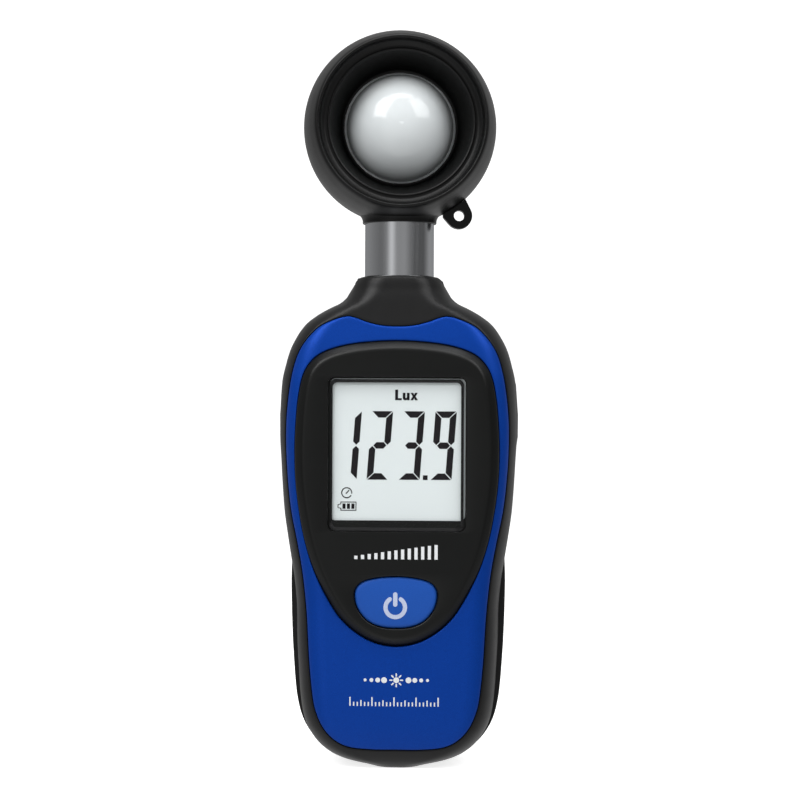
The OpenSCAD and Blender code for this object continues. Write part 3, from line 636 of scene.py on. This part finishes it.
def head_piece(name, profile, sgn, node):
    v, f = lathe(profile)
    v2, f2 = half_collar(sgn)
    ob = obj_from(name, v, f, HOOD, "head", 32, [node])
    return ob, (v2, f2)


def add_mesh(ob, mesh):
    bm = bmesh.new()
    bm.from_mesh(ob.data)
    vs = [bm.verts.new(tuple(c * MM for c in p)) for p in mesh[0]]
    for face in mesh[1]:
        bm.faces.new([vs[i] for i in face])
    bmesh.ops.recalc_face_normals(bm, faces=bm.faces)
    bm.to_mesh(ob.data)
    bm.free()


def settle(ob, angle=32):
    """Turn and lift a head piece from the head's own frame to its place."""
    ob.data.transform(Matrix.Translation((0, 0, HEAD_Z * MM)) @ Matrix.Rotation(math.radians(TURN), 4, "Z"))
    ob.data.shade_smooth()
    ob.data.set_sharp_from_angle(angle=math.radians(angle))


front_profile = [(20.86, 0.02)] + [tuple(q) for q in flow(
    [(21, 0.2), (20.98, 1.5), (20.85, 3.2), (20.6, 5), (20.2, 7), (19.7, 9), (19.1, 10.9), (18.75, 11.9), (18.45, 12.5),
     (18.1, 12.8), (17.75, 12.65), (17.6, 12.1), (17.3, 11.1), (16.5, 10.35), (16, 10.3), (15.7, 10.45), (15.4, 10.3),
     (15.25, 9.9), (14.9, 8.6), (13.9, 5), (12.95, 1.6), (12.6, 1.0), (12.15, 0.9)])]
front_profile += [(12.15, 0.02), (13.7, 0.02), (14.6, 3.2), (15.6, 7), (16, 8.9), (17.3, 9.2), (18, 8.6), (18.8, 5), (19.2, 2), (19.3, 0.02)]
ob, collar = head_piece("hood_shell", front_profile, -1, "hood_ring")
add_mesh(ob, collar)
settle(ob)

back_profile = [(20.86, -0.02)] + [tuple(q) for q in flow(
    [(21, -0.2), (20.95, -2), (20.7, -4.2), (20.1, -6.4), (19, -8.6), (17.4, -10.6), (15.4, -12), (13.2, -12.8), (11.2, -13),
     (9, -13)])]
back_profile += [(0.4, -13), (0.4, -11.2), (11, -11.2), (12.9, -11), (14.6, -10.4), (16.2, -9.3), (17.5, -7.8), (18.4, -5.8),
                 (18.9, -3.8), (19.2, -1.8), (19.3, -0.02)]
POSTS = [(0, 17), (-14.72, -8.5), (14.72, -8.5)]
ob, collar = head_piece("head_back", back_profile, 1, "head_rear_shell")
v, f = prism(disc(0, 0, 0.9), 11.6, 12.995)
boolean(ob, tool_mesh("cut", [(v, f)]), "UNION")
bosses = tool_mesh("bosses", [prism(disc(x, z, 2.95), 0.3, 12.5) for x, z in POSTS])
inside = [(r - 0.35, h + 0.35) for r, h in back_profile[:back_profile.index((0.4, -13))]]
boolean(bosses, tool_mesh("cut", [lathe([(0.01, 0.3)] + inside + [(0.01, -12.6)])]), "INTERSECT")
boolean(ob, bosses, "UNION")
boolean(ob, tool_mesh("cut", [prism(disc(x, z, 2.3), 6.6, 15) for x, z in POSTS]), "DIFFERENCE")
add_mesh(ob, collar)
settle(ob)

# ---------------------------------------------------------------- blue faceplate

inner_edge = grow(BEZEL_Q, 0.12)


def plate_y(q, drop):
    return -(depth(q[:, 0], q[:, 1]) - drop)


rings = [xyz(PLATE_Q, plate_y(PLATE_Q, 1.2)), xyz(PLATE_Q, plate_y(PLATE_Q, 0.28))]
for off, drop in ((-0.05, 0.12), (-0.16, 0.02), (-0.34, -0.04), (-0.6, -0.05)):
    q = grow(PLATE_Q, off)
    rings.append(xyz(q, plate_y(q, drop)))
qa, qb = grow(PLATE_Q, -0.6), grow(inner_edge, 0.45)
for k in range(1, 36):
    q = qa + (qb - qa) * k / 36
    rings.append(xyz(q, plate_y(q, -0.05)))
for off, drop in ((0.45, -0.05), (0.2, -0.03), (0.06, 0.05), (0.0, 0.2), (0.0, 1.2)):
    q = grow(inner_edge, off)
    rings.append(xyz(q, plate_y(q, drop)))
v, f = rings_mesh(rings, closed=True)
obj_from("blue_panel", v, f, BLUE, "body", 45, ["faceplate"])

# ---------------------------------------------------------------- display island

WIN_Q = rounded(-14.6, 14.8, 51.2, 84.1, 1.4)
OPEN_Q = rounded(-14.25, 14.65, 53.5, 83.8, 1.15)


def island():
    outer = [xyz(grow(BEZEL_Q, -1.5), -11.25), xyz(grow(BEZEL_Q, -1.5), -10.2), xyz(BEZEL_Q, -10.2)]
    for off, y in ((0, 11.15), (-0.05, 11.32), (-0.2, 11.52), (-0.5, 11.85), (-1.3, 12.62), (-1.6, 12.85),
                   (-1.9, 12.96), (-2.3, 13.0)):
        outer.append(xyz(grow(BEZEL_Q, off), -y))
    window = [xyz(grow(WIN_Q, 0.2), -13.0), xyz(grow(WIN_Q, 0.06), -12.95), xyz(WIN_Q, -12.82), xyz(WIN_Q, -11.7),
              xyz(OPEN_Q, -11.7), xyz(OPEN_Q, -11.25)]
    k = grow(KEY_Q, 0.18)
    key = [xyz(grow(k, 0.25), -13.0), xyz(grow(k, 0.08), -12.94), xyz(k, -12.8), xyz(k, -11.25)]
    bm = bmesh.new()
    ends = []
    for group in (outer, window, key):
        rows = [[bm.verts.new(tuple(p * MM)) for p in ring] for ring in group]
        for a, b in zip(rows, rows[1:]):
            for i in range(len(a)):
                j = (i + 1) % len(a)
                bm.faces.new((a[i], a[j], b[j], b[i]))
        ends.append((rows[0], rows[-1]))
    for loops in ([ends[0][1], ends[1][0], ends[2][0]], [ends[0][0], ends[1][1], ends[2][1]]):
        flat = [x for lp in loops for x in lp]
        tris = tessellate_polygon([[Vector((p.co.x, p.co.z, 0)) for p in lp] for lp in loops])
        for t in tris:
            bm.faces.new([flat[i] for i in t])
    bmesh.ops.recalc_face_normals(bm, faces=bm.faces)
    me = bpy.data.meshes.new("display_island")
    bm.to_mesh(me)
    bm.free()
    ob = bpy.data.objects.new("display_island", me)
    bpy.context.scene.collection.objects.link(ob)
    me.materials.append(ISLAND)
    me.shade_smooth()
    me.set_sharp_from_angle(angle=math.radians(45))
    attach(ob, "body")
    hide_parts("display_bezel")


island()

# ---------------------------------------------------------------- power key

KC = np.array([0.0, 36.4])


def key_top(x, z):
    f2 = (x / 8.1) ** 2 + ((z - 36.4) / 4.9) ** 2
    return 12.74 + 0.2 * (1 - np.minimum(f2, 1))


rings = [xyz(grow(KEY_Q, 0.9), -10.35), xyz(grow(KEY_Q, 0.9), -11.15), xyz(KEY_Q, -11.2)]
for off, y in ((0, 12.25), (-0.06, 12.42), (-0.2, 12.57), (-0.42, 12.68), (-0.7, 12.74)):
    rings.append(xyz(grow(KEY_Q, off), -y))
edge = grow(KEY_Q, -0.7)
for k in range(1, 16):
    s = 1 - k / 16
    q = KC + (edge - KC) * s
    rings.append(xyz(q, -(12.74 + 0.2 * (1 - s * s))))
v, f = rings_mesh(rings, cap_first=True, cap_last=True)
obj_from("key_cap", v, f, KEYBLUE, "key", 50, ["power_key"])


def plate(name, outlines, ya, yb, mat, body, conform=None):
    """Thin flat marks from outlines with holes: [[outer, hole, ...], ...], from depth ya (buried) to yb (proud)."""
    bm = bmesh.new()
    for loops in outlines:
        rows = []
        for q in loops:
            if conform:
                y1 = [-(conform(x, z) + yb) for x, z in q]
                y0 = [-(conform(x, z) + ya) for x, z in q]
            else:
                y1, y0 = [-yb] * len(q), [-ya] * len(q)
            top = [bm.verts.new((x * MM, y * MM, z * MM)) for (x, z), y in zip(q, y1)]
            bot = [bm.verts.new((x * MM, y * MM, z * MM)) for (x, z), y in zip(q, y0)]
            for i in range(len(q)):
                j = (i + 1) % len(q)
                bm.faces.new((top[i], top[j], bot[j], bot[i]))
            rows.append((top, bot))
        tris = tessellate_polygon([[Vector((x, z, 0)) for x, z in q] for q in loops])
        for side in (0, 1):
            flat = [p for r in rows for p in r[side]]
            for t in tris:
                bm.faces.new([flat[i] for i in t])
    bmesh.ops.recalc_face_normals(bm, faces=bm.faces)
    me = bpy.data.meshes.new(name)
    bm.to_mesh(me)
    bm.free()
    ob = bpy.data.objects.new(name, me)
    bpy.context.scene.collection.objects.link(ob)
    me.materials.append(mat)
    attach(ob, body)
    return ob


def arc_band(cx, cz, r0, r1, a0, a1, n=40, round_ends=True):
    """A band of a ring from angle a0 to a1, degrees clockwise from the top."""
    a = np.radians(np.linspace(a0, a1, n))
    out = [(cx + r1 * math.sin(t), cz + r1 * math.cos(t)) for t in a]
    if round_ends:
        rm, rr = (r0 + r1) / 2, (r1 - r0) / 2
        for k in range(1, 6):
            b = math.pi * k / 6
            t = a[-1] + rr * math.sin(b) / rm
            r = rm + rr * math.cos(b)
            out.append((cx + r * math.sin(t), cz + r * math.cos(t)))
    out += [(cx + r0 * math.sin(t), cz + r0 * math.cos(t)) for t in a[::-1]]
    if round_ends:
        for k in range(1, 6):
            b = math.pi * k / 6
            t = a[0] - rr * math.sin(b) / rm
            r = rm - rr * math.cos(b)
            out.append((cx + r * math.sin(t), cz + r * math.cos(t)))
    return out


def bar(x0, z0, x1, z1, w, n=8):
    """A stroke with round ends."""
    dx, dz = x1 - x0, z1 - z0
    base = math.atan2(dz, dx)
    out = []
    for k in range(n + 1):
        t = base - math.pi / 2 + math.pi * k / n
        out.append((x1 + w / 2 * math.cos(t), z1 + w / 2 * math.sin(t)))
    for k in range(n + 1):
        t = base + math.pi / 2 + math.pi * k / n
        out.append((x0 + w / 2 * math.cos(t), z0 + w / 2 * math.sin(t)))
    return out


ic = (-0.1, 35.15)
plate("key_mark", [[arc_band(ic[0], ic[1], 1.62, 2.52, 34, 326, 48)],
                   [bar(ic[0], ic[1] + 0.6, ic[0], ic[1] + 2.75, 0.92)]],
      -0.15, 0.03, PRINT_PALE, "key", key_top)

# ---------------------------------------------------------------- display content

def digit_x(px):
    return (px - 397.5) * 0.2135


def digit_z(py):
    return 79.2 - (py - 400) * 0.2135


def seven(ch, x, z, w=4.53, h=14.6, t=1.36, gap=0.13, lean=0.074):
    """Mitred seven-segment digit. x is the left edge at mid-height, z the bottom."""
    on = {"1": "bc", "2": "abged", "3": "abgcd", "9": "abcdfg"}[ch]
    m = h / 2
    g2 = gap
    seg = {
        "a": [(g2, h), (w - g2, h), (w - t - g2, h - t), (t + g2, h - t)],
        "d": [(t + g2, t), (w - t - g2, t), (w - g2, 0), (g2, 0)],
        "f": [(0, h - g2), (t, h - t - g2), (t, m + t / 2 + g2), (t / 2, m + g2), (0, m + t / 2 + g2)],
        "b": [(w, h - g2), (w - t, h - t - g2), (w - t, m + t / 2 + g2), (w - t / 2, m + g2), (w, m + t / 2 + g2)],
        "e": [(0, g2), (t, t + g2), (t, m - t / 2 - g2), (t / 2, m - g2), (0, m - t / 2 - g2)],
        "c": [(w, g2), (w - t, t + g2), (w - t, m - t / 2 - g2), (w - t / 2, m - g2), (w, m - t / 2 - g2)],
        "g": [(t / 2 + g2 * 1.5, m), (t + g2, m + t / 2), (w - t - g2, m + t / 2), (w - t / 2 - g2 * 1.5, m), (w - t - g2, m - t / 2), (t + g2, m - t / 2)],
    }
    return [[[(x + px + lean * (pz - m), z + pz) for px, pz in seg[k]]] for k in on]


zb = digit_z(479.6)
marks = []
marks += seven("1", digit_x(338.8), zb)
marks += seven("2", digit_x(370.0), zb)
marks += seven("3", digit_x(401.8), zb)
marks += seven("9", digit_x(433.6), zb)
dx, dz = digit_x(426.1), digit_z(477.4)
marks.append([[(dx - 0.5, dz - 0.5), (dx + 0.5, dz - 0.5), (dx + 0.5, dz + 0.5), (dx - 0.5, dz + 0.5)]])
# clock: a ring with one hand and a gap at the upper left
cx, cz = digit_x(347.7), digit_z(492.9)
marks.append([arc_band(cx, cz, 0.96, 1.18, 118, 460, 44, False)])
marks.append([bar(cx - 0.12, cz - 0.14, cx + 0.46, cz + 0.5, 0.22)])
# battery: outline with three bars and a pointed left end
bx0, bx1, bz0, bz1 = digit_x(341.5), digit_x(357.4), digit_z(510.8), digit_z(501.8)
zm = (bz0 + bz1) / 2
marks.append([[(bx0, bz0), (bx1, bz0), (bx1, bz1), (bx0, bz1), (bx0, zm + 0.55), (bx0 - 0.62, zm + 0.35), (bx0 - 0.62, zm - 0.35), (bx0, zm - 0.55)],
              [(bx0 + 0.17, bz0 + 0.17), (bx0 + 0.17, zm - 0.42), (bx0 - 0.45, zm - 0.24), (bx0 - 0.45, zm + 0.24), (bx0 + 0.17, zm + 0.42), (bx0 + 0.17, bz1 - 0.17), (bx1 - 0.17, bz1 - 0.17), (bx1 - 0.17, bz0 + 0.17)]])
for k in range(3):
    a0 = bx0 + 0.42 + k * 0.95
    marks.append([[(a0, bz0 + 0.4), (a0 + 0.66, bz0 + 0.4), (a0 + 0.66, bz1 - 0.4), (a0, bz1 - 0.4)]])
# unit
s = 0.115
def word(cx, cz):
    out = []
    h, st = 2.25, 0.62
    x = cx
    out.append([[(x, cz), (x + 1.42, cz), (x + 1.42, cz + 0.44), (x + st, cz + 0.44), (x + st, cz + h), (x, cz + h)]])
    x += 1.62
    hx = 1.58
    a = [(x, cz + hx), (x, cz + 0.5)]
    a += [(x + 0.56 - 0.56 * math.cos(t), cz + 0.5 - 0.53 * math.sin(t)) for t in [math.pi / 2 * k / 6 for k in range(1, 7)]]
    a += [(x + 0.78, cz + 0.02), (x + 0.92, cz + 0.14), (x + 0.92, cz), (x + 1.46, cz), (x + 1.46, cz + hx), (x + 0.88, cz + hx), (x + 0.88, cz + 0.66)]
    a += [(x + 0.74 - 0.16 * math.sin(t), cz + 0.62 - 0.18 * math.cos(t)) for t in [math.pi / 2 * k / 4 for k in range(0, 5)]]
    a += [(x + 0.58, cz + hx)]
    out.append([a])
    x += 1.62
    w2 = 1.62
    out.append([[(x, cz), (x + 0.62, cz), (x + w2 / 2, cz + 0.44), (x + w2 - 0.62, cz), (x + w2, cz), (x + w2 / 2 + 0.31, cz + hx / 2 + 0.02),
                 (x + w2 - 0.04, cz + hx), (x + w2 - 0.64, cz + hx), (x + w2 / 2, cz + hx - 0.42), (x + 0.64, cz + hx), (x + 0.04, cz + hx), (x + w2 / 2 - 0.31, cz + hx / 2 + 0.02)]])
    return out
marks += word(digit_x(395.7), digit_z(400.2))
plate("display_marks", marks, 11.19, 11.235, INK, "body")

# ---------------------------------------------------------------- printed marks: a ramp of bars, a sun and a scale

ramp = []
for k in range(13):
    h = 0.7 + 0.2 * k
    x = (k - 6) * 1.42
    z0 = digit_z(558.5)
    ramp.append([[(x - 0.34, z0), (x + 0.34, z0), (x + 0.34, z0 + h), (x - 0.34, z0 + h)]])
plate("ramp_marks", ramp, 12.98, 13.02, PRINT_WHITE, "body")

scale = []
cx, cz = 0.15, digit_z(679.4)
scale.append([[(cx + 0.62 * math.sin(t), cz + 0.62 * math.cos(t)) for t in [2 * math.pi * k / 32 for k in range(32)]]])
for k in range(8):
    t = math.radians(45 * k)
    scale.append([bar(cx + 0.92 * math.sin(t), cz + 0.92 * math.cos(t), cx + 1.35 * math.sin(t), cz + 1.35 * math.cos(t), 0.3)])
for sgn in (-1, 1):
    for k in range(4):
        r = 0.62 - 0.1 * k
        x = cx + sgn * (2.6 + 1.35 * k)
        scale.append([[(x + r * math.sin(t), cz + r * math.cos(t)) for t in [2 * math.pi * j / 24 for j in range(24)]]])
n_t = 25
for k in range(n_t):
    x = digit_x(352) + (digit_x(440) - digit_x(352)) * k / (n_t - 1)
    h = 1.9 if k % 6 == 0 else 1.25 if k % 3 == 0 else 0.85
    z0 = digit_z(705.5)
    scale.append([[(x - 0.14, z0), (x + 0.14, z0), (x + 0.14, z0 + h), (x - 0.14, z0 + h)]])
plate("scale_marks", scale, -0.02, 0.085, PRINT_WHITE, "body", lambda x, z: float(depth(x, z)))

# ---------------------------------------------------------------- stage, light, camera

def plain(name, colour, rough=0.6):
    m = bpy.data.materials.new(name)
    m.use_nodes = True
    b = m.node_tree.nodes["Principled BSDF"]
    b.inputs["Base Color"].default_value = colour
    b.inputs["Roughness"].default_value = rough
    return m


def studio_bowl():
    """A round pale floor that curves up into a wall on every side."""
    prof = [(0.0, 0.0), (0.3, 0.0), (0.7, 0.0), (1.1, 0.0)]
    prof += [(1.1 + 0.5 * math.sin(math.pi / 2 * i / 10), 0.5 - 0.5 * math.cos(math.pi / 2 * i / 10)) for i in range(1, 11)]
    prof += [(1.6, 1.4), (1.6, 2.6)]
    n = 64
    verts = [(0, 0, -0.00002)]
    for r, z in prof[1:]:
        verts += [(r * math.cos(2 * math.pi * k / n), r * math.sin(2 * math.pi * k / n), z - 0.00002) for k in range(n)]
    faces = [(0, 1 + k, 1 + (k + 1) % n) for k in range(n)]
    for j in range(len(prof) - 2):
        a, b = 1 + j * n, 1 + (j + 1) * n
        faces += [(a + k, b + k, b + (k + 1) % n, a + (k + 1) % n) for k in range(n)]
    me = bpy.data.meshes.new("floor")
    me.from_pydata(verts, [], faces)
    ob = bpy.data.objects.new("floor", me)
    bpy.context.scene.collection.objects.link(ob)
    m = plain("floor_white", (0.8, 0.8, 0.8, 1), 0.8)
    m.node_tree.nodes["Principled BSDF"].inputs["Specular IOR Level"].default_value = 0
    m.node_tree.nodes["Principled BSDF"].inputs["Emission Color"].default_value = (1, 1, 1, 1)
    m.node_tree.nodes["Principled BSDF"].inputs["Emission Strength"].default_value = 0.78
    me.materials.append(m)
    me.shade_smooth()
    ob.visible_glossy = False
    ob.visible_diffuse = False
    ob.visible_shadow = False
    return ob


studio_bowl()


def area(name, loc, target, size, power, size_y=None, colour=(1, 1, 1)):
    li = bpy.data.lights.new(name, "AREA")
    li.energy = power
    li.color = colour
    li.size = size
    if size_y:
        li.shape, li.size_y = "RECTANGLE", size_y
    ob = bpy.data.objects.new(name, li)
    ob.location = loc
    ob.rotation_euler = (Vector(target) - Vector(loc)).to_track_quat("-Z", "Y").to_euler()
    bpy.context.scene.collection.objects.link(ob)
    return ob


world = bpy.data.worlds.new("studio")
bpy.context.scene.world = world
world.use_nodes = True
wn = world.node_tree
tc = wn.nodes.new("ShaderNodeTexCoord")
sep = wn.nodes.new("ShaderNodeSeparateXYZ")
neg = wn.nodes.new("ShaderNodeMath"); neg.operation = "MULTIPLY"; neg.inputs[1].default_value = -1
at2 = wn.nodes.new("ShaderNodeMath"); at2.operation = "ARCTAN2"
mr = wn.nodes.new("ShaderNodeMapRange")
mr.inputs["From Min"].default_value = -math.pi
mr.inputs["From Max"].default_value = math.pi
cr = wn.nodes.new("ShaderNodeValToRGB")
wn.links.new(tc.outputs["Generated"], sep.inputs[0])
wn.links.new(sep.outputs["Y"], neg.inputs[0])
wn.links.new(sep.outputs["X"], at2.inputs[0])
wn.links.new(neg.outputs[0], at2.inputs[1])
wn.links.new(at2.outputs[0], mr.inputs["Value"])
wn.links.new(mr.outputs["Result"], cr.inputs["Fac"])
wn.links.new(cr.outputs["Color"], wn.nodes["Background"].inputs[0])
wn.nodes["Background"].inputs[1].default_value = 1.0
# light that comes back up from the pale floor
low = wn.nodes.new("ShaderNodeMath"); low.operation = "MULTIPLY"; low.inputs[1].default_value = -0.85
pos = wn.nodes.new("ShaderNodeMath"); pos.operation = "MAXIMUM"; pos.inputs[1].default_value = 0.0
bg2 = wn.nodes.new("ShaderNodeBackground")
add = wn.nodes.new("ShaderNodeAddShader")
wn.links.new(sep.outputs["Z"], low.inputs[0])
wn.links.new(low.outputs[0], pos.inputs[0])
wn.links.new(pos.outputs[0], bg2.inputs["Strength"])
wn.links.new(wn.nodes["Background"].outputs[0], add.inputs[0])
wn.links.new(bg2.outputs[0], add.inputs[1])
wn.links.new(add.outputs[0], wn.nodes["World Output"].inputs["Surface"])
STOPS = [(-180, 0.55), (-110, 0.3), (-60, 0.15), (-42, 0.2), (-24, 0.85), (-8, 0.32), (20, 0.36), (48, 0.1), (90, 0.1), (120, 0.4), (180, 0.55)]
el = cr.color_ramp.elements
while len(el) > 2:
    el.remove(el[-1])
for i, (d, v) in enumerate(STOPS):
    pos = (d + 180) / 360
    e = el[i] if i < 2 else el.new(pos)
    e.position = pos
    e.color = (v, v, v, 1)

area("key_left", (-0.44, -0.46, 0.64), (0, 0, 0.09), 0.42, 4.6, 0.6)
area("key_right", (0.46, -0.34, 0.56), (0, 0, 0.08), 0.4, 2.5, 0.5)
area("top", (0.02, -0.10, 0.80), (0, 0, 0.1), 0.5, 3.2)

cam = bpy.data.cameras.new("camera")
cam.lens, cam.sensor_width = 90.5, 36
cam_ob = bpy.data.objects.new("camera", cam)
bpy.context.scene.collection.objects.link(cam_ob)
az = math.radians(2)
aim = Vector((0.00026, 0, 0.0792))
cam_ob.location = aim + Vector((math.sin(az), -math.cos(az), 0)) * 0.440
cam_ob.rotation_euler = ((aim - cam_ob.location).to_track_quat("-Z", "Y")
                         @ Quaternion((0, 0, 1), math.radians(0.26))).to_euler()
bpy.context.scene.camera = cam_ob

bpy.context.scene.view_settings.view_transform = "Standard"
